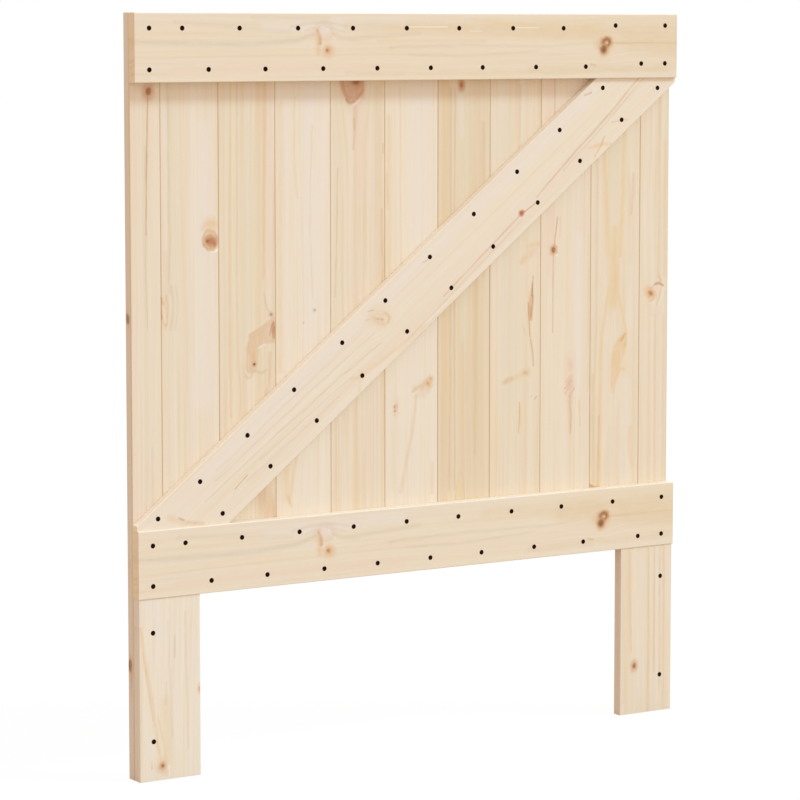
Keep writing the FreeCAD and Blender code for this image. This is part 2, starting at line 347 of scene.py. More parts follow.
        Streak(((28, 445, 1.8), (29.5, 443, 1.8)), "white", 0.9, waver=0.3, fray=0),
        Streak(((25, 456, 2.2), (26, 474, 2.4), (30, 500, 1.8)), "copper", 0.65),
        Streak(((34, 470, 2.2), (35, 500, 2.2)), "amber", 0.3),
        Streak(((23, 446, 2), (22, 410, 2.4), (22, 330, 1.8)), "copper", 0.4),
        Streak(((24, 712, 2.4), (24, 610, 2.2)), "copper", 0.35),
        Knot((54, 280), (8, 14), "pink", 0.45, halo=0.4, halo_stain="blush", reach=2, softness=1.0),
        Knot((53, 251), (8, 15), "pink", 0.8, halo=0.6, halo_stain="blush", reach=1.7, softness=1.0),
        Streak(((56, 264, 6), (58, 248, 7)), "orange", 0.5, waver=2),
        Nick(((46, 255, 2.4), (51, 261, 3), (55, 264, 2.4)), "amber", 0.8),
        Nick(((45, 246, 2.4), (50, 252, 3), (55, 257, 2.4)), "copper", 0.85),
        Nick(((45, 238, 2.2), (51, 246, 2.8)), "olive", 0.95),
        Nick(((53, 233, 2.4), (60, 244, 3)), "copper", 0.9),
        Nick(((50, 241, 1.4), (57, 252, 1.6)), "white", 0.7),
        Streak(((54, 236, 7), (54, 205, 5), (54, 178, 3)), "amber", 0.45),
        Streak(((55, 216, 1.8), (56, 196, 2), (55, 182, 1.6)), "copper", 0.55),
        Streak(((70, 226, 2.8), (71, 188, 2.4)), "honey", 0.8),
        Streak(((86, 470, 3), (86, 240, 3)), "tan", 0.6),
    ]),
    "plank_10": Cut(10.5, tone=0.46, blush=0.1, contrast=0.14, streaky=0.25, pith_across=48, pith_depth=110, marks=[
        Wash(((42, 650, 16), (42, 540, 14), (43, 440, 10)), "green", 0.6),
        Streak(((44, 480, 8), (44, 430, 15), (45, 396, 16), (43, 366, 12)), "yellow", 0.95, waver=2, fray=3),
        Streak(((45, 424, 8), (45, 388, 10), (43, 368, 7)), "honey", 0.6, waver=2, fray=3),
        Streak(((22, 640, 6), (28, 520, 7), (33, 440, 7)), "yellow", 0.9, waver=2),
        Streak(((60, 640, 6), (58, 520, 7), (54, 440, 7)), "yellow", 0.9, waver=2),
        Streak(((34, 392, 6), (29, 358, 6), (21, 320, 6), (19, 270, 6), (18, 92, 7)), "yellow", 0.9, waver=2),
        Streak(((52, 378, 4), (58, 354, 4), (66, 330, 4), (66, 318, 3)), "yellow", 0.95, waver=2),
        Streak(((12, 640, 3), (12, 325, 3), (8, 240, 3)), "tan", 0.8, waver=2),
        Streak(((6, 262, 6), (8, 92, 8)), "tan", 0.9),
        Streak(((17, 200, 3), (15, 92, 4.4)), "amber", 0.4),
        Wash(((72, 420, 8), (72, 330, 8)), "cool", 0.35),
        Wash(((66, 250, 14), (64, 100, 16)), "cool", 0.5),
        Streak(((63, 320, 6), (55, 303, 16), (48, 284, 12)), "honey", 0.85, softness=0.5, waver=1.4, fray=3),
        Streak(((48, 290, 11), (48, 272, 13), (43, 254, 8), (42, 236, 4)), "honey", 0.9, softness=0.5, waver=1.4,
               fray=3),
        Streak(((50, 270, 5), (62, 268, 5)), "honey", 0.7, waver=1),
        Streak(((65, 322, 2.4), (57, 312, 4)), "amber", 0.6, waver=0.5, fray=1),
        Streak(((66, 316, 3), (64, 304, 4)), "orange", 0.6, waver=0.5, fray=1),
        Streak(((78, 560, 4), (76, 530, 6), (74, 500, 3)), "pink", 0.5),
        Streak(((74, 180, 6), (72, 158, 8), (78, 120, 6)), "honey", 0.5),
        Streak(((1, 98, 4), (12, 92, 5), (30, 88, 3)), "salmon", 0.75, waver=1.5),
    ]),
    "plank_11": Cut(11.9, tone=0.4, blush=0.15, contrast=0.2, streaky=0.35, pith_across=-90, marks=[
        Streak(((36, 1000, 4), (36, 660, 5)), "tan", 0.8),
        Streak(((46, 860, 6), (47, 660, 6)), "honey", 0.5),
        Streak(((10, 800, 4), (10, 660, 4)), "cool", 0.4),
        Wash(((16, 640, 13), (36, 634, 14)), "blush", 0.8),
        Knot((21.5, 633.5), (7, 4.8), "rust", 0.75, core=0.15, halo=0.85, halo_stain="orange", reach=2.4, turn=-35,
             bend=0.9, softness=0.8),
        Nick(((18, 628, 2), (24, 634, 2.4)), "red", 0.6, waver=0.4),
        Streak(((20, 622, 4), (26, 624, 4)), "orange", 0.6),
        Streak(((22, 641, 2.4), (30, 648, 4), (38, 648, 4.4), (45, 644, 3)), "olive", 0.7, waver=1),
        Streak(((28, 646, 2), (36, 648.5, 3), (43, 645, 2.6)), "copper", 0.75, waver=1),
        Streak(((37, 658, 4), (40, 652, 5)), "amber", 0.35),
        Streak(((32, 636, 1.6), (31, 626, 1.8), (27, 617, 1.6)), "white", 0.35, waver=0.8),
        Streak(((40, 640, 2), (38, 628, 2.2), (33, 616, 1.6)), "grey", 0.35, waver=0.8),
        Streak(((44, 638, 1.6), (42, 626, 1.8), (37, 615, 1.6)), "white", 0.4, waver=0.8),
        Streak(((49, 634, 1.6), (46, 618, 1.6)), "grey", 0.3, waver=0.8),
        Streak(((18, 616, 9), (26, 600, 6)), "blush", 0.7, waver=2),
        Streak(((30, 600, 3), (31, 300, 3)), "tan", 0.7),
        Streak(((46, 600, 5), (45, 280, 5)), "honey", 0.5),
    ]),
}

RAIL_MARKS = [
    Wash(((14, 420, 12), (18, 300, 18), (20, 200, 12)), "cool", 0.5),
    Wash(((78, 60, 12), (74, 240, 14), (80, 420, 12)), "blush", 0.5),
    Wash(((20, 560, 14), (24, 760, 16)), "tan", 0.45),
    Wash(((80, 640, 10), (78, 890, 10)), "tan", 0.5),
    Wash(((40, 820, 30), (46, 900, 40)), "tan", 0.55),
    Streak(((40, 0, 8), (43, 150, 9), (40, 240, 8), (29, 276, 5)), "grey", 0.28),
    Streak(((12, 60, 6), (20, 160, 8), (26, 240, 6)), "grey", 0.14, waver=2),
    Streak(((29, 306, 5), (37, 330, 6), (33, 367, 6), (28, 450, 5)), "grey", 0.22),
    Streak(((19, 240, 4), (14, 270, 4.4), (13, 300, 4), (18, 330, 3.4)), "grey", 0.24),
    Streak(((25, 262, 3), (20, 280, 3.6), (20, 306, 3.4), (26, 326, 3)), "grey", 0.2),
    Knot((26, 293), (9, 12), "cool", 0.6, halo=0.3, halo_stain="pink", bend=0.8, softness=0.9),
    Streak(((19, 288, 1.6), (21, 298, 1.8), (27, 303, 1.6)), "white", 0.6, waver=1),
    Streak(((28, 298, 1.4), (31, 306, 1.6), (36, 310, 1.4)), "white", 0.4, waver=1),
    Streak(((24, 283, 6), (36, 285, 8), (54, 284, 7)), "orange", 0.7, waver=1),
    Streak(((24, 282, 3), (30, 286, 4.4), (42, 287, 4)), "amber", 0.85, waver=1),
    Streak(((21, 300, 2.4), (27, 297, 2.4)), "white", 0.4, waver=1),
    Knot((53, 300), (8, 9), "orange", 0.7, halo=0.4, halo_stain="pink", reach=1.7, bend=0.2, softness=0.9),
    Knot((51.5, 298.5), (5, 4.6), "copper", 0.9, halo=0.7, halo_stain="orange", reach=2.0, bend=0.3, softness=0.8),
    Dot((51.5, 297.5), (2.4, 2.6), "brown", 0.75),
    Knot((46, 768), (16, 17), "olive", 0.7, halo=0.4, halo_stain="honey", reach=1.4, bend=0.5, softness=0.8),
    Knot((41.5, 772), (9, 10), "brown", 1.0, halo=0.6, halo_stain="amber", reach=1.5, bend=0.9, turn=25, softness=0.5),
    Dot((42, 772.5), (4, 5), "amber", 0.9),
    Dot((42, 772.5), (1.8, 2.2), "white", 0.6),
    Knot((52, 767), (7.6, 7), "brown", 1.0, core=0.6, halo=0.7, halo_stain="amber", reach=1.7, softness=0.6),
    Streak(((35, 762, 2), (40, 765, 2.4)), "brown", 0.6, waver=0.8),
    Streak(((32, 764, 1.4), (36, 768, 1.6)), "white", 0.6, waver=0.8),
    Streak(((40, 780, 6), (41, 806, 5), (41, 900, 3)), "honey", 0.8),
    Streak(((42, 780, 2.8), (42, 806, 2.2), (43, 900, 1.6)), "copper", 0.35),
    Wash(((48, 400, 4), (44, 520, 4.4), (48, 640, 4), (42, 756, 3)), "grey", 0.22),
    Wash(((58, 430, 3), (60, 540, 4), (54, 650, 3)), "grey", 0.18),
    Streak(((73, 744, 3), (75, 752, 3)), "olive", 0.6, waver=2),
]
TOP_MARKS = [
    Wash(((6, 180, 5), (8, 300, 8)), "grey", 0.12),
    Wash(((18, 330, 12), (20, 480, 16), (24, 640, 20), (30, 900, 40)), "tan", 0.6),
    Wash(((8, 540, 6), (20, 640, 8), (26, 760, 8)), "yellow", 0.5),
    Streak(((21, 400, 5), (20, 540, 5)), "honey", 0.4, waver=2),
    Streak(((38, 380, 5), (39, 560, 5)), "honey", 0.4, waver=2),
    Wash(((84, 330, 6), (86, 640, 7), (80, 880, 8)), "tan", 0.5),
    Streak(((19, 432, 1.1), (19, 496, 1.1)), "white", 0.75, waver=0.4),
    Streak(((25, 533, 1.1), (25, 554, 1.1)), "white", 0.5, waver=0.4),
    Streak(((20, 612, 1.1), (20, 652, 1.1)), "white", 0.75, waver=0.4),
]
BOTTOM_MARKS = [
    Wash(((30, 700, 30), (34, 900, 50)), "tan", 0.7),
]


def rail_cut(tone, further):
    """Both rails were cut from one board, so they share its marks; each adds some of its own."""
    return Cut(21.4, tone=tone, contrast=0.13, streaky=0.2, pith_across=-120, ring_width=11, sway=20,
               marks=RAIL_MARKS + further)


RAIL_CUTS = {"top_rail": rail_cut(0.46, TOP_MARKS), "bottom_rail": rail_cut(0.36, BOTTOM_MARKS)}

BRACE_CUT = Cut(31.6, tone=0.2, blush=0.25, contrast=0.08, streaky=0.12, pith_across=-110, ring_width=10, marks=[
    # The cool wash along the upper edge is partly a painted sheen
    Wash(((14, 60, 16), (16, 400, 18), (12, 900, 16)), "cool", 0.5),
    Wash(((74, 860, 12), (76, 420, 14), (70, 120, 12)), "blush", 0.45),
    Knot((30, 420), (15, 11), "tan", 0.6, halo=0.3, halo_stain="honey", turn=40, bend=0.9, softness=1.0),
    Streak(((30, 430, 3), (40, 434, 4), (45, 426, 3)), "amber", 0.55, waver=1.5),
    Streak(((22, 412, 5), (32, 411, 6), (43, 420, 5)), "pink", 0.5, waver=1.5),
    Streak(((28, 414, 2), (36, 422, 3)), "brown", 0.75, waver=0.5),
    Streak(((26, 417, 1.4), (33, 425, 1.6)), "white", 0.7, waver=0.5),
    Streak(((11, 411, 2), (15, 418, 2.4)), "grey", 0.8, waver=0.8, fray=1),
    Streak(((18, 400, 1.8), (22, 407, 2)), "grey", 0.35, waver=0.8, fray=1),
    Streak(((16, 523, 2), (19, 531, 2.2)), "grey", 0.5, waver=1, fray=1),
    Streak(((6, 888, 2.6), (10, 899, 3)), "copper", 0.5, waver=1, fray=1),
    Knot((70, 696), (3.4, 4), "rust", 1.0, core=0.2, halo=0.85, halo_stain="salmon", reach=1.9, bend=0.6,
         softness=0.6),
    Dot((69, 698), (1.6, 1.8), "salmon", 0.7),
    Streak(((72, 701, 1.8), (74, 722, 1.6)), "copper", 0.7, waver=0.6),
    Streak(((71, 690, 2.4), (74, 600, 2.4), (77, 520, 2.2)), "amber", 0.5, waver=0.8),
    Streak(((79, 690, 2.4), (83, 560, 2.4), (86, 430, 2.4)), "olive", 0.3),
    Streak(((46, 990, 2.6), (57, 885, 3), (62, 800, 3), (69, 730, 2.4)), "amber", 0.5),
    Streak(((52, 990, 2.4), (64, 870, 3), (68, 790, 2.4)), "olive", 0.3),
    Streak(((72, 846, 4), (80, 864, 5), (92, 880, 5)), "honey", 0.7, waver=2),
    Streak(((76, 878, 2.6), (83, 862, 3), (88, 846, 2.6)), "amber", 0.45, waver=2),
    Streak(((68, 900, 2.4), (82, 926, 3)), "olive", 0.35, waver=2),
    Wash(((88, 470, 5), (84, 400, 6), (74, 340, 5), (66, 330, 4)), "honey", 0.5),
    Wash(((70, 350, 4), (90, 330, 5)), "honey", 0.4),
    Wash(((60, 400, 1.8), (54, 320, 2.2), (47, 180, 2.4), (45, 50, 2)), "grey", 0.3, fray=1),
    Wash(((66, 350, 1.6), (61, 240, 2), (58, 150, 1.8)), "grey", 0.22, fray=1),
    Wash(((42, 400, 2), (38, 300, 2.4), (35, 170, 2.4), (34, 80, 2)), "grey", 0.24, fray=1),
    Wash(((28, 380, 2), (25, 260, 2.4), (24, 90, 2.2)), "grey", 0.16, fray=1),
    Wash(((75, 300, 2), (70, 200, 2.4), (66, 90, 2)), "grey", 0.16, fray=1),
    Wash(((18, 330, 2), (15, 200, 2.2)), "grey", 0.12, fray=1),
    Streak(((61, 122, 1.4), (63, 96, 1.4)), "copper", 0.7, waver=0.6),
    Streak(((24, -4, 8), (46, 8, 8)), "honey", 0.5),
    Nick(((35, 6, 2.6), (42, 10, 3.2)), "olive", 0.9, waver=0.6),
    Nick(((48, 12, 5), (66, 28, 6)), "amber", 0.4, waver=0.6),
])

LEG_CUTS = {
    "left_leg_board": Cut(41.2, tone=0.08, blush=0.0, contrast=0.1, streaky=0.15, pith_across=-70, marks=[
        Wash(((14, 250, 18), (34, 200, 18)), "cool", 0.5),
        Streak(((2, 214, 4), (10, 160, 5), (19, 114, 5.4), (24, 65, 5), (32, 28, 4)), "honey", 0.65),
        Streak(((6, 180, 2), (13, 130, 2.4), (20, 85, 2)), "amber", 0.25),
        Wash(((40, 110, 12), (42, 30, 14)), "yellow", 0.45),
        Streak(((28, 90, 3), (40, 30, 3)), "honey", 0.5),
        Knot((34.5, 21), (10, 12), "pink", 0.4, halo=0.3, halo_stain="honey", reach=1.5, bend=0.8, softness=1.0),
        Knot((34.5, 20), (2.8, 3), "rust", 0.9, core=0.4, halo=0.8, halo_stain="amber", reach=3.0, bend=0.8),
        Streak(((44, 20, 1.4), (45, 6, 1.6)), "white", 0.7, waver=0.6),
        Streak(((30, 16, 8), (38, 10, 8)), "pink", 0.5),
        Streak(((18, 17, 2), (18, 28, 2)), "olive", 0.5, waver=0.6, fray=1),
        Knot((92.5, 121), (2.4, 5), "amber", 0.9, halo=0.6, bend=0.2, softness=0.8),
        Streak(((44, 220, 3), (50, 60, 3)), "grey", 0.18, waver=2),
        Streak(((54, 198, 2.4), (54, 170, 2.4)), "grey", 0.35, waver=1, fray=6),
        Streak(((41, 136, 2.4), (40, 106, 2.4)), "grey", 0.3, waver=1, fray=6),
        Streak(((70, 230, 3), (74, 40, 3)), "tan", 0.5),
    ]),
    "right_leg_board": Cut(42.8, tone=0.36, blush=0.1, contrast=0.16, streaky=0.3, pith_across=-60, marks=[
        Streak(((8, 250, 8), (8, 20, 8)), "tan", 0.45),
        Streak(((36, 240, 12), (36, 30, 12)), "cool", 0.35, waver=2),
        Streak(((16, 250, 4), (17, 170, 4), (20, 96, 3)), "tan", 0.9),
        Streak(((51, 250, 3), (51, 0, 3)), "amber", 0.3),
        Streak(((62, 250, 3), (62, 60, 3)), "amber", 0.32),
        Streak(((72, 250, 2.8), (72, 30, 2.6)), "amber", 0.3),
        Streak(((80, 250, 2.8), (80, 0, 2.6)), "amber", 0.26),
        Knot((25.5, 73), (4, 5.4), "brown", 0.95, core=0.2, halo=0.7, halo_stain="amber", reach=2.6, softness=0.7),
    ]),
}


class Field:
    """A number, place or colour that changes over the surface. Arithmetic on it adds math nodes to its tree."""

    def __init__(self, wiring, socket):
        self.wiring = wiring
        self.socket = socket

    def __add__(self, other):
        return self.wiring.math("ADD", self, other)

    def __sub__(self, other):
        return self.wiring.math("SUBTRACT", self, other)

    def __rsub__(self, other):
        return self.wiring.math("SUBTRACT", other, self)

    def __mul__(self, other):
        return self.wiring.math("MULTIPLY", self, other)

    def __truediv__(self, other):
        return self.wiring.math("DIVIDE", self, other)

    __radd__ = __add__
    __rmul__ = __mul__

    def smooth(self, start, finish):
        """0 at start and before it, 1 at finish and past it, with an even S between."""
        return self.wiring.field(
            "Result", "MapRange", interpolation_type="SMOOTHSTEP", Value=self, From_Min=start, From_Max=finish)


class Wiring:
    """Adds shader nodes to one tree and joins them."""

    def __init__(self, tree):
        self.tree = tree

    def add(self, kind, *values, **named):
        """A new node. Values go to its inputs in order, and a capitalised name gives the input of that name.
        The other names are settings."""
        node = self.tree.nodes.new(kind if "Group" in kind else "ShaderNode" + kind)
        for name, value in named.items():
            if name[0].isupper():
                self.join(value, node.inputs[name.replace("_", " ")])
            else:
                setattr(node, name, value)
        for value, socket in zip(values, node.inputs):
            self.join(value, socket)
        return node

    def join(self, value, socket):
        if isinstance(value, Field):
            self.tree.links.new(value.socket, socket)
        else:
            socket.default_value = value

    def field(self, output, kind, *values, **named):
        """One output of a new node."""
        return Field(self, self.add(kind, *values, **named).outputs[output])

    def math(self, operation, *values):
        return self.field(0, "Math", *values, operation=operation)

    def vector(self, operation, *values):
        output = "Value" if operation in ("LENGTH", "DOT_PRODUCT") else "Vector"
        return self.field(output, "VectorMath", *values, operation=operation)

    def scaled(self, vector, share):
        return self.field("Vector", "VectorMath", vector, operation="SCALE", Scale=share)

    def split(self, vector):
        return [Field(self, socket) for socket in self.add("SeparateXYZ", vector).outputs]

    def together(self, x, y, z):
        return self.field(0, "CombineXYZ", x, y, z)

    def noise(self, vector, scale, detail=2.0):
        return self.field("Fac", "TexNoise", Vector=vector, Scale=scale, Detail=detail)

    def stretched_noise(self, place, shares, shift, detail=2.0):
        """Noise on places scaled by a share along each axis, so that it is drawn out along the grain."""
        return self.noise(self.vector("ADD", self.vector("MULTIPLY", place, shares), shift), 1.0, detail)

    def ripple(self, value, detail=1.0):
        """Noise along one line."""
        return self.field("Fac", "TexNoise", noise_dimensions="1D", W=value, Scale=1.0, Detail=detail)

    def mix(self, first, second, share, blend="MIX"):
        """Two colours, or another blend of them, by a share of the second."""
        node = self.add("Mix", share, data_type="RGBA", blend_type=blend)
        for value, socket in zip((first, second), node.inputs[6:8]):
            self.join(value if isinstance(value, Field) else tuple(value) + (1.0,), socket)
        return Field(self, node.outputs[2])

    def group(self, name, **given):
        """A shared group with its inputs set, as a dictionary of its outputs."""
        node = self.add("ShaderNodeGroup", node_tree=bpy.data.node_groups[name], **given)
        return {socket.name: Field(self, socket) for socket in node.outputs}


def shared_group(name, shape, places, numbers=()):
    """A node group whose inputs are the named places and numbers. The shape function adds its nodes and
    gives its outputs."""
    tree = bpy.data.node_groups.new(name, "ShaderNodeTree")
    for label in places + numbers:
        kind = "Vector" if label in places else "Float"
        tree.interface.new_socket(label, in_out="INPUT", socket_type="NodeSocket" + kind)
    w = Wiring(tree)
    entry = w.add("NodeGroupInput")
    results = shape(w, {socket.name: Field(w, socket) for socket in entry.outputs if socket.name})
    for label, value in results.items():
        kind = "Vector" if value.socket.type == "VECTOR" else "Float"
        tree.interface.new_socket(label, in_out="OUTPUT", socket_type="NodeSocket" + kind)
    finish = w.add("NodeGroupOutput")
    for label, value in results.items():
        w.join(value, finish.inputs[label])


# How the pith wanders along a board, and how unevenly the rings follow it, in millimetres
PITH_ASIDE_RUN = 420.0
PITH_RISE_RUN = 330.0
RING_WAVER = 3.0
RING_SPACING_RUN = 26.0
BAND_RUN = 15.0
# How finely each grain effect changes across, into and along the wood: shares of a millimetre's place
WAVER_GRAIN = (0.09, 0.09, 0.006)
FADE_GRAIN = (0.03, 0.03, 0.005)
FIBRE_GRAIN = (1.5, 1.5, 0.03)
SAP_GRAIN = (0.13, 0.03, 0.0016)
WARMTH_GRAIN = (0.045, 0.02, 0.0018)
STRIPE_GRAIN = (0.2, 0.2, 0.0035)


def growth_rings(w, given):
    """Rings are circles round a pith line that wanders along the board: each is pale early wood that
    darkens slowly and ends sharply. Their radius wavers a little, so their lines are never straight, and
    each line has its own strength, which fades in and out along the board."""
    board = given["Board"]
    across, depth, along = w.split(board)
    seed = given["Seed"]
    drift = w.ripple(along / PITH_ASIDE_RUN + seed * 3.1) - 0.5
    rise = w.ripple(along / PITH_RISE_RUN + seed * 5.7) - 0.5
    aside = across - given["Pith across"] + drift * given["Sway"]
    below = depth - given["Pith depth"] + rise * given["Sway"]
    radius = w.math("SQRT", aside * aside + below * below)
    shift = w.together(seed, seed * 2.0, seed * 3.0)
    radius = radius + (w.stretched_noise(board, WAVER_GRAIN, shift) - 0.5) * RING_WAVER
    rings = radius / given["Ring width"] + w.ripple(radius / RING_SPACING_RUN + seed) * 2.4
    part = w.math("FRACT", rings)
    latewood = part.smooth(0.05, 0.84) * part.smooth(1.0, 0.88)
    strength = w.ripple(w.math("FLOOR", rings) * 1.37 + seed, 0.0).smooth(0.3, 0.7)
    fade = w.stretched_noise(board, FADE_GRAIN, w.scaled(shift, 3.0)).smooth(0.3, 0.62)
    return {
        "Latewood": latewood * (0.12 + strength * 0.88) * (0.35 + fade * 0.65),
        "Band": w.ripple(radius / BAND_RUN + seed * 2.3),
        "Fibre": w.stretched_noise(board, FIBRE_GRAIN, shift, 3.0),
        "Sap": w.stretched_noise(board, SAP_GRAIN, w.scaled(shift, 4.0)),
        "Warmth": w.stretched_noise(board, WARMTH_GRAIN, w.scaled(shift, 7.0)),
        "Stripe": w.stretched_noise(board, STRIPE_GRAIN, w.scaled(shift, 5.0), 1.0),
    }


# Where the grain's bend round a knot ends: one over how many of its half sizes
KNOT_BEND = (0.42, 0.42, 0.26)


def knot_field(w, given):
    """Distance from a knot's middle as a share of its turned half size, with an uneven outline, and the
    grain's places drawn in towards the knot, so that grain lines part and pass round it."""
    from_middle = w.vector("SUBTRACT", given["Board"], given["Middle"])
    turned = w.field(0, "VectorRotate", rotation_type="Y_AXIS", Vector=from_middle, Angle=given["Turn"])
    share = w.vector("DIVIDE", turned, given["Half size"])
    uneven = w.noise(w.vector("ADD", w.scaled(share, 0.9), given["Middle"]), 1.0, 2.0) - 0.5
    distance = w.vector("LENGTH", share) * (1.0 + uneven * 0.7)
    reach = w.vector("LENGTH", w.vector("MULTIPLY", share, KNOT_BEND))
    pull = reach.smooth(1.0, 0.0) * given["Bend"]
    parted = w.vector("SUBTRACT", given["Grain"], w.together(w.split(from_middle)[0] * pull, 0.0, 0.0))
    return {"Grain": parted, "Distance": distance}


# How finely a streak's waves, ragged sides and patches change, in the same way
STREAK_WAVE = (0.05, 0.0, 0.024)
STREAK_RAGGED = (0.5, 0.0, 0.02)
STREAK_PATCH = (0.16, 0.0, 0.035)


def uneven_field(w, given):
    """Slow waves across the grain, a raggedness fibre by fibre and a patchiness, which keep the sides,
    ends and fill of a streak uneven."""
    flat = w.vector("MULTIPLY", given["Board"], (1.0, 0.0, 1.0))
    shift = w.together(given["Seed"], 0.0, given["Seed"])
    return {
        "Face": flat,
        "Wave": w.stretched_noise(flat, STREAK_WAVE, shift) * 2.0 - 1.0,
        "Ragged": w.stretched_noise(flat, STREAK_RAGGED, shift) * 2.0 - 1.0,
        "Patch": w.stretched_noise(flat, STREAK_PATCH, shift).smooth(0.3, 0.66),
    }


def run_field(w, given):
    """Distance from the line between two places, as a share of a half width that changes evenly
    from one to the other."""
    run = w.vector("SUBTRACT", given["End"], given["Start"])
    rel = w.vector("SUBTRACT", given["Board"], given["Start"])
    share = w.vector("DOT_PRODUCT", rel, run) / w.vector("DOT_PRODUCT", run, run)
    share.socket.node.use_clamp = True
    away = w.vector("SUBTRACT", rel, w.scaled(run, share))
    half = given["Start half"] + (given["End half"] - given["Start half"]) * share
    return {"Distance": w.vector("LENGTH", away) / half}


# The front zone's depth, fading out, and how squarely a face has to look along an axis, fading in
FRONT_DEPTH = (2.6, 1.4)
SQUARE_ON = (0.6, 0.9)


def edge_field(w, given):
    """How near a place is to the board's long edges, and whether it is on an end or a narrow side."""
    across, depth = w.split(given["Board"])[:2]
    size_across, size_depth = w.split(given["Size"])[:2]
    side = w.math("MINIMUM", across, size_across - across)
    face = w.math("MINIMUM", depth, size_depth - depth)
    turned = w.split(given["Normal"])
    return {
        "Edge distance": w.math("MAXIMUM", side, face),
        "Side distance": side,
        "Front": depth.smooth(*FRONT_DEPTH),
        "End": w.math("ABSOLUTE", turned[2]).smooth(*SQUARE_ON),
        "Side": w.math("ABSOLUTE", turned[0]).smooth(*SQUARE_ON),
    }


def wood_groups():
    """The node groups that all boards share."""
    shared_group(
        "Growth rings", growth_rings, ("Board",), ("Seed", "Pith across", "Pith depth", "Ring width", "Sway"))
    shared_group("Knot", knot_field, ("Board", "Grain", "Middle", "Half size"), ("Turn", "Bend"))
    shared_group("Unevenness", uneven_field, ("Board",), ("Seed",))
    shared_group("Run", run_field, ("Board", "Start", "End"), ("Start half", "End half"))
    shared_group("Board edges", edge_field, ("Board", "Size", "Normal"))


def colour_setting(name, description, default):
    """A colour that a user can change."""
    return FloatVectorProperty(
        name=name, description=description, subtype="COLOR", min=0, max=1, default=default)


def strength_setting(name, description, default):
    """The strength of a light."""
    return FloatProperty(name=name, description=description, min=0, default=default)


def length_setting(name, description, default):
    """A length in metres."""
    return FloatProperty(name=name, description=description, unit="LENGTH", default=default)


class HEADBOARD_PG_pine(PropertyGroup):
    """Colours and finish of the boards."""

    pale: colour_setting("Pale wood", "Colour of the palest boards", paint(238, 223, 202))
    tan: colour_setting("Tan wood", "Colour of the darkest boards", paint(227, 204, 170))
    blush: colour_setting("Blush", "Pink tint of some boards", paint(235, 210, 187))
    latewood: colour_setting("Late wood", "Colour of the rings' dark lines", paint(211, 179, 136))
    sap: colour_setting("Sap streaks", "Colour of the wide warm streaks", paint(227, 197, 155))
    end_grain: colour_setting("End grain", "Tint of the sawn ends", paint(243, 232, 218))
    # Painted shade: the narrow sides of planks and leg boards are darkened as if less lit than their faces
    side: colour_setting("Narrow sides", "Tint of the boards' narrow sides", paint(234, 230, 229))
    # Painted shade: the planks' eased edges are darkened where they meet, deepening the grooves between them
    joint_shade: colour_setting("Joints", "Tint of the planks' eased edges at their joints", paint(243, 234, 221))
    roughness: FloatProperty(
        name="Roughness", description="How matt the planed wood is", subtype="FACTOR",
        min=0, max=1, default=0.62)


class HEADBOARD_PG_screws(PropertyGroup):
    """Shape and finish of the screws."""

    head_radius: length_setting("Head radius", "Half of the head's width", 3.5 * MM)
    seat_radius: length_setting("Seat radius", "Half of the countersink's width", 3.25 * MM)
    recess_depth: length_setting("Recess depth", "Depth of the cross recess", 1.6 * MM)
    thread_pitch: length_setting("Thread pitch", "Distance between turns of the thread", 1.6 * MM)
    turn_seed: IntProperty(
        name="Turn seed", description="Picks how each screw's recess is turned", default=7)
    black: colour_setting("Black finish", "Colour of the black finish", (0.018, 0.0065, 0.002))


class HEADBOARD_PG_stage(PropertyGroup):
    """Floor, light and camera."""

    floor: colour_setting("Floor", "Colour of the floor", (0.8, 0.8, 0.8))
    key: strength_setting("Key light", "Strength of the light from the upper right", 1.81)
    rear: strength_setting("Rear light", "Strength of the wide light behind", 0.9)
    sky: strength_setting("Sky", "Strength of the even light from all round", 0.935)
    lens: FloatProperty(
        name="Lens", description="Focal length of the camera, in millimetres", min=1, default=139.35)
    shift: FloatProperty(
        name="Shift", description="Vertical shift of the picture", default=-0.10)


# Slow changes of a board's tint from cool to warm, as factors
COOL_DRIFT = (0.985, 1.0, 1.035)
WARM_DRIFT = (1.0, 0.975, 0.92)
FIBRE_SHADE = (0.94, 0.91, 0.87)
# Painted light on the brace's narrow sides: they are tinted a little paler than its face, as if better lit
BRACE_SIDE_PAINTED_LIGHT = (1.09, 1.13, 1.18)
# How fast the faint rings inside a knot follow one another
KNOT_RINGS = 15.0
# How far from an edge the painted shade in the planks' joints and a front board's pale eased edge, partly a painted
# highlight, reach, in millimetres, fading in
JOINT_SHADE_REACH = (2.4, 0.6)
EASED_EDGE_HIGHLIGHT_REACH = (2.4, 0.4)
FIBRE_RELIEF = 0.1 * MM
PINE_GLOSS = 0.35


def board_place(name):
    """A board's corner, turn and size: its own axes run across the grain, into the board and along the grain."""
    low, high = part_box(name)
    width, depth, height = high - low
    if name in RAILS:
        return (low.x, low.y, high.z), math.pi / 2, (height, depth, width)
    if name == BRACE:
        rail_low, rail_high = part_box(RAILS[0])
        across = rail_high.z - rail_low.z
        run = width + 2 * BRACE_TIP_TRIM
        angle = math.atan2(height, run) + math.asin(across / math.hypot(run, height))
        length = height / math.sin(angle)
        middle = (low + high) / 2
        corner = (middle.x - math.cos(angle) * length / 2 - math.sin(angle) * across / 2, low.y,
                  middle.z - math.sin(angle) * length / 2 + math.cos(angle) * across / 2)
        return corner, math.pi / 2 - angle, (across, depth, length)
    return tuple(low), 0.0, (width, depth, height)


def knotted_grain(w, board, knots):
    """The board's places parted round its knots, and the distance from each knot."""
    grain = board
    distances = []
    for knot in knots:
        result = w.group(
            "Knot", Board=board, Grain=grain, Bend=knot.bend, Turn=math.radians(knot.turn),
            Middle=(knot.at[0], knot.depth, knot.at[1]),
            Half_size=(knot.size[0], knot.half_depth, knot.size[1]))
        grain = result["Grain"]
        distances.append(result["Distance"])
    return grain, distances


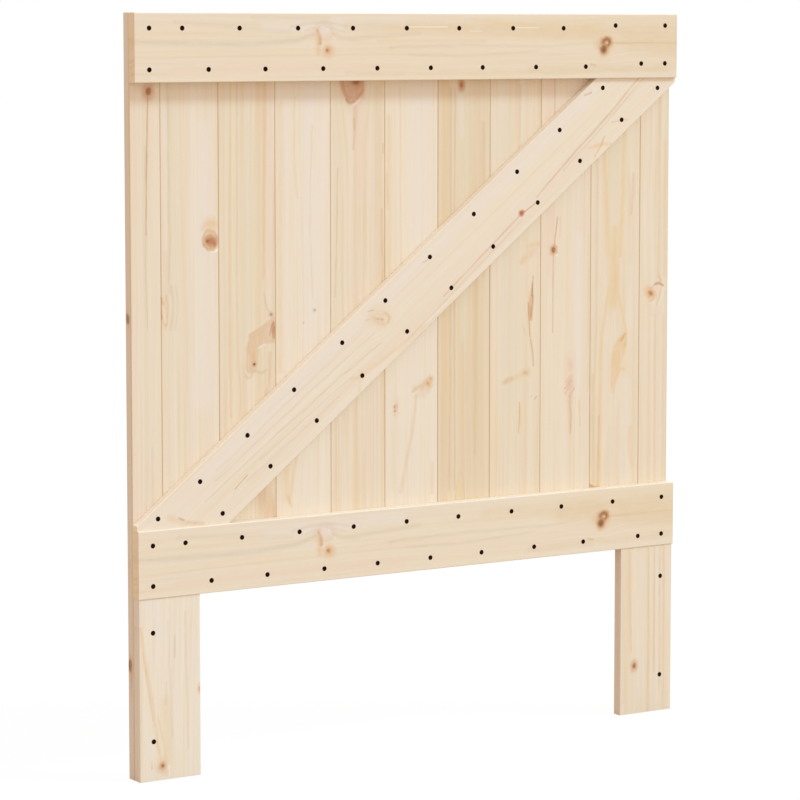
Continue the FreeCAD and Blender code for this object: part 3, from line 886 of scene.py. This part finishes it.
def rounded(path):
    """A path whose corners are cut at a quarter of each side, so that it bends gently."""
    places = np.array(path, float)
    if len(places) < 3:
        return places.tolist()
    near = places[:-1] * 0.75 + places[1:] * 0.25
    far = places[:-1] * 0.25 + places[1:] * 0.75
    middle = np.stack([near, far], axis=1).reshape(-1, 3)[1:-1]
    return np.vstack([places[:1], middle, places[-1:]]).tolist()


def streaked(w, colour, uneven, streaks):
    """The colour with each streak laid over it: the nearest of its path's runs gives the distance.

    Each streak's places take the smaller of the colour so far and nothing, which is always nothing, so that
    the renderer works out one streak after another and never holds them all at once.
    """
    for streak in streaks:
        aside = w.together(uneven["Wave"] * streak.waver, 0.0, uneven["Ragged"] * streak.fray)
        nothing = w.vector("MINIMUM", colour, (0.0, 0.0, 0.0))
        moved = w.vector("ADD", w.vector("ADD", uneven["Face"], aside), nothing)
        path = rounded(streak.path)
        distance = None
        for start, end in zip(path, path[1:]):
            run = w.group(
                "Run", Board=moved, Start=(start[0], 0.0, start[1]), End=(end[0], 0.0, end[1]),
                Start_half=start[2], End_half=end[2])["Distance"]
            distance = run if distance is None else w.math("MINIMUM", distance, run)
        amount = distance.smooth(1.0, 1.0 - streak.softness) * (uneven["Patch"] * 0.5 + 0.65) * streak.strength
        colour = w.mix(colour, STAINS[streak.stain], amount)
        if streak.outline:
            line = distance.smooth(1.16, 1.0) * distance.smooth(0.84, 1.0)
            colour = w.mix(colour, STAINS["copper"], line * streak.outline)
    return colour


def knotted(w, colour, fibre, knots, distances):
    """The colour with each knot laid over it: a frayed halo, a fill with faint rings, a heart and a rim."""
    frayed = (fibre - 0.5) * 0.6
    for knot, distance in zip(knots, distances):
        if knot.halo:
            halo = (distance + frayed).smooth(knot.reach, 0.8) * knot.halo
            colour = w.mix(colour, STAINS[knot.halo_stain], halo)
        circles = w.math("SINE", distance * KNOT_RINGS) * 0.1 + 0.9
        fill = distance.smooth(1.1, 1.1 - knot.softness) * circles * knot.strength
        colour = w.mix(colour, STAINS[knot.stain], fill)
        if knot.core:
            colour = w.mix(colour, STAINS["dark"], distance.smooth(0.7, 0.0) * knot.core)
        if knot.rim:
            line = distance.smooth(1.24, 1.0) * distance.smooth(0.7, 1.0)
            colour = w.mix(colour, STAINS[knot.rim_stain], line * knot.rim)
    return colour


def board_vector(w, source, **placed):
    """Texture coordinates of one kind turned into the board's own axes."""
    return w.field(0, "Mapping", vector_type="TEXTURE", Vector=Field(w, source), **placed)


def pine_material(name, cut, pine):
    """Planed pine for one board: growth rings parted round its knots, sap streaks, fine fibres, its own
    marks and darker ends. Shade is painted on the narrow sides of planks and leg boards and in the planks'
    joints, light is painted on the brace's narrow sides, and the other boards' eased edges are paler, partly
    a painted highlight."""
    corner, turn, size = board_place(name)
    material = bpy.data.materials.new("pine_" + name)
    material.use_nodes = True
    tree = material.node_tree
    w = Wiring(tree)
    shader = tree.nodes["Principled BSDF"]
    source = w.add("TexCoord").outputs
    turned = (0.0, turn, 0.0)
    board = board_vector(w, source["Object"], Location=corner, Rotation=turned, Scale=(MM, MM, MM))
    normal = board_vector(w, source["Normal"], Rotation=turned)

    knots = [mark for mark in cut.marks if isinstance(mark, Knot)]
    streaks = [mark for mark in cut.marks if isinstance(mark, Streak)]
    grain, distances = knotted_grain(w, board, knots)
    rings = w.group(
        "Growth rings", Board=grain, Seed=cut.seed, Pith_across=cut.pith_across,
        Pith_depth=cut.pith_depth, Ring_width=cut.ring_width, Sway=cut.sway)
    edges = w.group("Board edges", Board=board, Normal=normal, Size=tuple(value / MM for value in size))
    fibre = rings["Fibre"]

    tone = (rings["Band"] - 0.5) * (0.3 + cut.contrast) + cut.tone
    tone.socket.node.use_clamp = True
    colour = w.mix(pine.pale, pine.tan, tone)
    colour = w.mix(colour, pine.blush, rings["Warmth"].smooth(0.6, 0.35) * cut.blush)
    colour = w.mix(colour, pine.sap, rings["Sap"].smooth(0.46, 0.72) * cut.streaky)
    colour = w.mix(colour, pine.sap, rings["Stripe"].smooth(0.5, 0.8) * (0.25 + cut.streaky * 0.5))
    tint = w.mix(COOL_DRIFT, WARM_DRIFT, rings["Warmth"].smooth(0.3, 0.7))
    colour = w.mix(colour, tint, cut.drift, "MULTIPLY")
    lines = rings["Latewood"] * (edges["End"] * 0.35 + cut.contrast)
    colour = w.mix(colour, pine.latewood, lines)
    colour = w.mix(colour, FIBRE_SHADE, fibre.smooth(0.42, 0.75) * 0.4, "MULTIPLY")
    colour = streaked(w, colour, w.group("Unevenness", Board=board, Seed=cut.seed), streaks)
    colour = knotted(w, colour, fibre, knots, distances)

    colour = w.mix(colour, pine.end_grain, edges["End"], "MULTIPLY")
    # Painted shade on the narrow sides of the planks and leg boards
    if name in PLANKS or name in LEG_BOARDS:
        colour = w.mix(colour, pine.side, edges["Side"], "MULTIPLY")
    # Painted light: the brace's narrow sides are tinted paler than its face
    if name == BRACE:
        colour = w.mix(colour, BRACE_SIDE_PAINTED_LIGHT, edges["Side"], "MULTIPLY")
    # Painted shade in the grooves between the planks
    if name in PLANKS:
        joint_shade_mask = edges["Side distance"].smooth(*JOINT_SHADE_REACH) * edges["Front"]
        colour = w.mix(colour, pine.joint_shade, joint_shade_mask, "MULTIPLY")
    else:
        # Paler eased edges on the rails, brace and leg boards: partly wear and partly a painted highlight
        colour = w.mix(colour, pine.pale, edges["Edge distance"].smooth(*EASED_EDGE_HIGHLIGHT_REACH) * 0.4)
    w.join(colour, shader.inputs["Base Color"])

    rough = fibre * 0.12 - rings["Latewood"] * 0.1 + (pine.roughness - 0.04)
    for distance in distances:
        rough = rough - distance.smooth(1.0, 0.7) * 0.12
    w.join(rough, shader.inputs["Roughness"])
    relief = w.field(0, "Bump", Strength=0.35, Distance=FIBRE_RELIEF, Height=fibre * 0.5 + lines)
    w.join(relief, shader.inputs["Normal"])
    shader.inputs["Specular IOR Level"].default_value = PINE_GLOSS
    return material


def dress(name, cut):
    """Give one board its own pine."""
    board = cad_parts[name]
    material = pine_material(name, cut, bpy.context.scene.headboard_pine)
    board.data.materials.clear()
    board.data.materials.append(material)


class HEADBOARD_OT_planks(Operator):
    """Give each plank of the back layer its own cut of pine"""

    bl_idname = "headboard.planks"
    bl_label = "Finish the planks"

    def execute(self, context):
        for name in PLANKS:
            dress(name, PLANK_CUTS[name])
        return {"FINISHED"}


class HEADBOARD_OT_rails(Operator):
    """Give both rails their pine, with a swirl and a double knot"""

    bl_idname = "headboard.rails"
    bl_label = "Finish the rails"

    def execute(self, context):
        for name in RAILS:
            dress(name, RAIL_CUTS[name])
        return {"FINISHED"}


class HEADBOARD_OT_brace(Operator):
    """Give the brace its pine, with grain along its slope"""

    bl_idname = "headboard.brace"
    bl_label = "Finish the brace"

    def execute(self, context):
        dress(BRACE, BRACE_CUT)
        return {"FINISHED"}


class HEADBOARD_OT_leg_boards(Operator):
    """Give the two leg boards their pine"""

    bl_idname = "headboard.leg_boards"
    bl_label = "Finish the leg boards"

    def execute(self, context):
        for name in LEG_BOARDS:
            dress(name, LEG_CUTS[name])
        return {"FINISHED"}


# A turned screw: points round it, rings over its head, and rows in one turn of its thread
SIDES = 40
HEAD_RINGS = 12
TURN_ROWS = 4
# How far the head's lip stands proud of the wood
HEAD_LIP = 0.05 * MM
SCREW_RELIEF = 0.04 * MM
SCREW_GLOSS = 0.04
WORN_BLACK = paint(44, 26, 12)


def placed(name, data):
    """A new object in the scene."""
    thing = bpy.data.objects.new(name, data)
    bpy.context.scene.collection.objects.link(thing)
    return thing


def screw_surface(settings, length):
    """One screw with its head's middle at the origin and its point at +Y.

    A ring of points is carried along the axis. Over the head its radius grows from 0 and its depth follows
    a cross: two crossed bars, deepest in the middle. The head's thin lip lies on the wood round its seat.
    Then the radius shrinks along the countersink, and follows a ridge that winds round the shank, core plus
    crest times a triangle of turns, down to the point.
    """
    head = settings.head_radius
    seat = settings.seat_radius
    pitch = settings.thread_pitch
    core = seat * 0.33
    crest = seat * 0.135
    angle = np.arange(SIDES) * (2 * math.pi / SIDES)
    head_radii = head * np.linspace(1 / HEAD_RINGS, 0.965, HEAD_RINGS)
    cone_start = seat * 0.09
    cone_end = seat * 0.69
    point_start = length - seat * 1.25
    rows = int((point_start - cone_end) / pitch * TURN_ROWS)
    thread_y = np.linspace(cone_end, point_start, rows)
    rim = [(head, -HEAD_LIP * 0.4), (seat, -HEAD_LIP * 0.1), (seat * 0.99, cone_start),
           (seat * 0.72, cone_end * 0.5), (core, cone_end)]
    radius = np.concatenate([head_radii, [r for r, y in rim], np.full(rows, core), [core * 0.55]])
    depth = np.concatenate([np.full(HEAD_RINGS, -HEAD_LIP), [y for r, y in rim], thread_y, [length - seat * 0.5]])

    radius = radius[:, None] * np.ones(SIDES)
    depth = depth[:, None] * np.ones(SIDES)
    turns = depth / pitch - angle / (2 * math.pi)
    ridge = np.clip(1 - 3.2 * np.abs(turns - np.round(turns)), 0, 1)
    threaded = np.clip((depth - cone_end * 1.6) / pitch, 0, 1) * (depth < point_start)
    radius = radius + crest * ridge * threaded
    x = radius * np.cos(angle)
    z = radius * np.sin(angle)
    bar = head * 0.15
    arm = head * 0.6
    crossed = np.minimum(
        np.maximum(np.abs(x) - bar, np.abs(z) - arm), np.maximum(np.abs(z) - bar, np.abs(x) - arm))
    sunk = np.clip(-crossed / (head * 0.05) + 0.5, 0, 1) * (1 - 0.55 * np.hypot(x, z) / arm)
    in_head = np.arange(len(depth))[:, None] < HEAD_RINGS
    depth = depth + np.where(in_head, settings.recess_depth * np.clip(sunk, 0, 1), 0)

    grid = np.stack([x, depth, z], axis=-1).reshape(-1, 3)
    points = np.vstack([grid, [[0, settings.recess_depth, 0]], [[0, length, 0]]])
    ring = np.arange(SIDES)
    following = (ring + 1) % SIDES
    starts = np.arange(len(depth) - 1)[:, None] * SIDES
    quads = np.stack(
        [starts + ring, starts + following, starts + SIDES + following, starts + SIDES + ring], axis=-1)
    last = (len(depth) - 1) * SIDES
    near_cap = np.stack([np.full(SIDES, len(grid)), following, ring], axis=-1)
    far_cap = np.stack([np.full(SIDES, len(grid) + 1), last + ring, last + following], axis=-1)
    return points, quads.reshape(-1, 4), np.vstack([near_cap, far_cap])


def screw_places(name):
    """Axis of each screw in a group, where its head lies and how long it is, read from the frame."""
    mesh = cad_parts[name].data
    points = np.empty(len(mesh.vertices) * 3, np.float32)
    mesh.vertices.foreach_get("co", points)
    points = points.reshape(-1, 3).astype(float)
    head_y = points[:, 1].min()
    tip_y = points[:, 1].max()
    tips = points[points[:, 1] > tip_y - MM / 10]
    places = np.unique(np.round(tips[:, [0, 2]], 5), axis=0)
    return places, head_y, tip_y - head_y


def screws_mesh(name, settings, seed):
    """All screws of a group in one mesh: each is the one screw turned by its own angle and moved to its place."""
    places, head_y, length = screw_places(name)
    points, quads, caps = screw_surface(settings, length)
    angles = np.random.default_rng(seed).uniform(0, math.pi / 2, len(places))[:, None]
    x = points[:, 0] * np.cos(angles) - points[:, 2] * np.sin(angles) + places[:, :1]
    z = points[:, 0] * np.sin(angles) + points[:, 2] * np.cos(angles) + places[:, 1:]
    y = np.broadcast_to(points[:, 1] + head_y, x.shape)
    offsets = (np.arange(len(places)) * len(points))[:, None, None]
    faces = (quads + offsets).reshape(-1, 4).tolist() + (caps + offsets).reshape(-1, 3).tolist()
    mesh = bpy.data.meshes.new(name + "_turned")
    mesh.from_pydata(np.stack([x, y, z], axis=-1).reshape(-1, 3).tolist(), [], faces)
    mesh.shade_smooth()
    mesh.update()
    return mesh


def black_screw_material(settings):
    """Black phosphated steel: an uneven dark coat, with worn browner patches scattered by a mottling noise."""
    material = bpy.data.materials.new("black_screw_steel")
    material.use_nodes = True
    tree = material.node_tree
    w = Wiring(tree)
    shader = tree.nodes["Principled BSDF"]
    place = w.field("Object", "TexCoord")
    mottle = w.noise(place, 900.0, 3.0)
    grime = w.noise(place, 2600.0, 2.0)
    colour = w.mix(settings.black, WORN_BLACK, mottle.smooth(0.5, 0.9))
    w.join(colour, shader.inputs["Base Color"])
    w.join(mottle * 0.2 + 0.4, shader.inputs["Roughness"])
    relief = w.field(0, "Bump", Strength=0.4, Distance=SCREW_RELIEF, Height=grime)
    w.join(relief, shader.inputs["Normal"])
    shader.inputs["Specular IOR Level"].default_value = SCREW_GLOSS
    return material


class HEADBOARD_OT_screws(Operator):
    """Turn the countersunk screws, with cross recesses and threads, in place of their plain solids"""

    bl_idname = "headboard.screws"
    bl_label = "Turn the screws"

    def execute(self, context):
        settings = context.scene.headboard_screws
        material = black_screw_material(settings)
        for index, name in enumerate(SCREW_GROUPS):
            mesh = screws_mesh(name, settings, settings.turn_seed + index)
            mesh.materials.append(material)
            piece = placed("turned_" + name, mesh)
            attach(piece, BODY)
            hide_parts(name)
        return {"FINISHED"}


# The floor's half width in metres
FLOOR_REACH = 40.0
# Share of plain white in the floor that the camera sees; the rest shows the shadow
FLOOR_WHITE = 0.95
# Towards each light, how wide it looks in degrees, and its colour. The key light is cool and what comes
# back from the floor is warm: together they are white, and shadows turn as warm as the photograph's.
LIGHTS = {
    "key": ((0.604, -0.417, 0.679), 12.0, (0.665, 1.0, 1.27)),
    "rear": ((0.3, 1.0, 0.8), 80.0, (1.08, 1.0, 0.89)),
}
SKY_COLOUR = (1.06, 0.992, 0.978)
FLOOR_GLOW = (0.52, 0.44, 0.36)
CAMERA_PLACE = (-2.3202, -3.7502, 1.0261)
CAMERA_PITCH = 5.343
CAMERA_YAW = 31.489


def floor_material(settings):
    """A pale matt floor that sends warm light up to the wood. It is white where the camera or a reflection
    looks at it, with a trace of the shadow left."""
    material = bpy.data.materials.new("studio_floor")
    material.use_nodes = True
    tree = material.node_tree
    tree.nodes.clear()
    w = Wiring(tree)
    seen = seen_by_eye(w)
    matt = w.field(0, "BsdfDiffuse", w.mix(FLOOR_GLOW, settings.floor, seen))
    white = w.field(0, "Emission", Strength=1.0)
    w.add("OutputMaterial", w.field(0, "MixShader", seen * FLOOR_WHITE, matt, white))
    return material


def seen_by_eye(w):
    """1 for rays from the camera, and for those that reach it by a mirror or through glass."""
    path = w.add("LightPath").outputs
    eye, mirror, glass = (
        Field(w, path[label]) for label in ("Is Camera Ray", "Is Glossy Ray", "Is Transmission Ray"))
    return w.math("MAXIMUM", w.math("MAXIMUM", eye, mirror), glass)


def studio_world(settings):
    """An even, slightly warm sky that looks white to the camera."""
    world = bpy.data.worlds.new("studio_sky")
    bpy.context.scene.world = world
    world.use_nodes = True
    tree = world.node_tree
    w = Wiring(tree)
    background = tree.nodes["Background"]
    sky = tuple(part * settings.sky for part in SKY_COLOUR)
    w.join(w.mix(sky, (1.0, 1.0, 1.0), seen_by_eye(w)), background.inputs["Color"])
    background.inputs["Strength"].default_value = 1.0


class HEADBOARD_OT_stage(Operator):
    """Lay the pale floor, hang the soft lights and set up the camera"""

    bl_idname = "headboard.stage"
    bl_label = "Set the stage"

    def execute(self, context):
        settings = context.scene.headboard_stage
        studio_world(settings)
        corners = np.array([[-1, -1], [1, -1], [1, 1], [-1, 1]]) * FLOOR_REACH
        mesh = bpy.data.meshes.new("floor")
        mesh.from_pydata(np.column_stack([corners, np.zeros(4)]).tolist(), [], [(0, 1, 2, 3)])
        mesh.materials.append(floor_material(settings))
        floor = placed("floor", mesh)
        floor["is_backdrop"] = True
        for name, (towards, width, colour) in LIGHTS.items():
            light = bpy.data.lights.new(name, "SUN")
            light.energy = getattr(settings, name)
            light.angle = math.radians(width)
            light.color = colour
            lamp = placed(name, light)
            lamp.rotation_mode = "QUATERNION"
            lamp.rotation_quaternion = Vector(towards).to_track_quat("Z", "Y")
        lens = bpy.data.cameras.new("camera")
        lens.lens = settings.lens
        lens.shift_y = settings.shift
        camera = placed("camera", lens)
        camera.location = CAMERA_PLACE
        camera.rotation_euler = (math.radians(90 - CAMERA_PITCH), 0, math.radians(-CAMERA_YAW))
        context.scene.camera = camera
        context.scene.view_settings.view_transform = "Standard"
        return {"FINISHED"}


class HEADBOARD_PT_panel(Panel):
    """The headboard's sidebar."""

    bl_idname = "HEADBOARD_PT_panel"
    bl_label = "Pine headboard"
    bl_space_type = "VIEW_3D"
    bl_region_type = "UI"
    bl_category = "Headboard"

    def draw(self, context):
        for settings in (context.scene.headboard_pine, context.scene.headboard_screws, context.scene.headboard_stage):
            box = self.layout.box()
            for name in settings.__annotations__:
                box.prop(settings, name)
        for step in STEPS:
            self.layout.operator(step.bl_idname)


STEPS = (
    HEADBOARD_OT_planks,
    HEADBOARD_OT_rails,
    HEADBOARD_OT_brace,
    HEADBOARD_OT_leg_boards,
    HEADBOARD_OT_screws,
    HEADBOARD_OT_stage,
)
GROUPS = {
    "headboard_pine": HEADBOARD_PG_pine,
    "headboard_screws": HEADBOARD_PG_screws,
    "headboard_stage": HEADBOARD_PG_stage,
}


def register():
    for kind in (*GROUPS.values(), *STEPS, HEADBOARD_PT_panel):
        bpy.utils.register_class(kind)
    for name, kind in GROUPS.items():
        setattr(bpy.types.Scene, name, PointerProperty(type=kind))


def unregister():
    for name in GROUPS:
        delattr(bpy.types.Scene, name)
    for kind in (HEADBOARD_PT_panel, *reversed(STEPS), *reversed(GROUPS.values())):
        bpy.utils.unregister_class(kind)


def corners():
    """The shown object's lowest and highest corner, as plain lists."""
    return [list(corner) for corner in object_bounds()]


def main():
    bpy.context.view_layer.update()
    register()
    wood_groups()
    for step in STEPS:
        area, action = step.bl_idname.split(".")
        getattr(getattr(bpy.ops, area), action)()


if __name__ == "__main__":
    main()
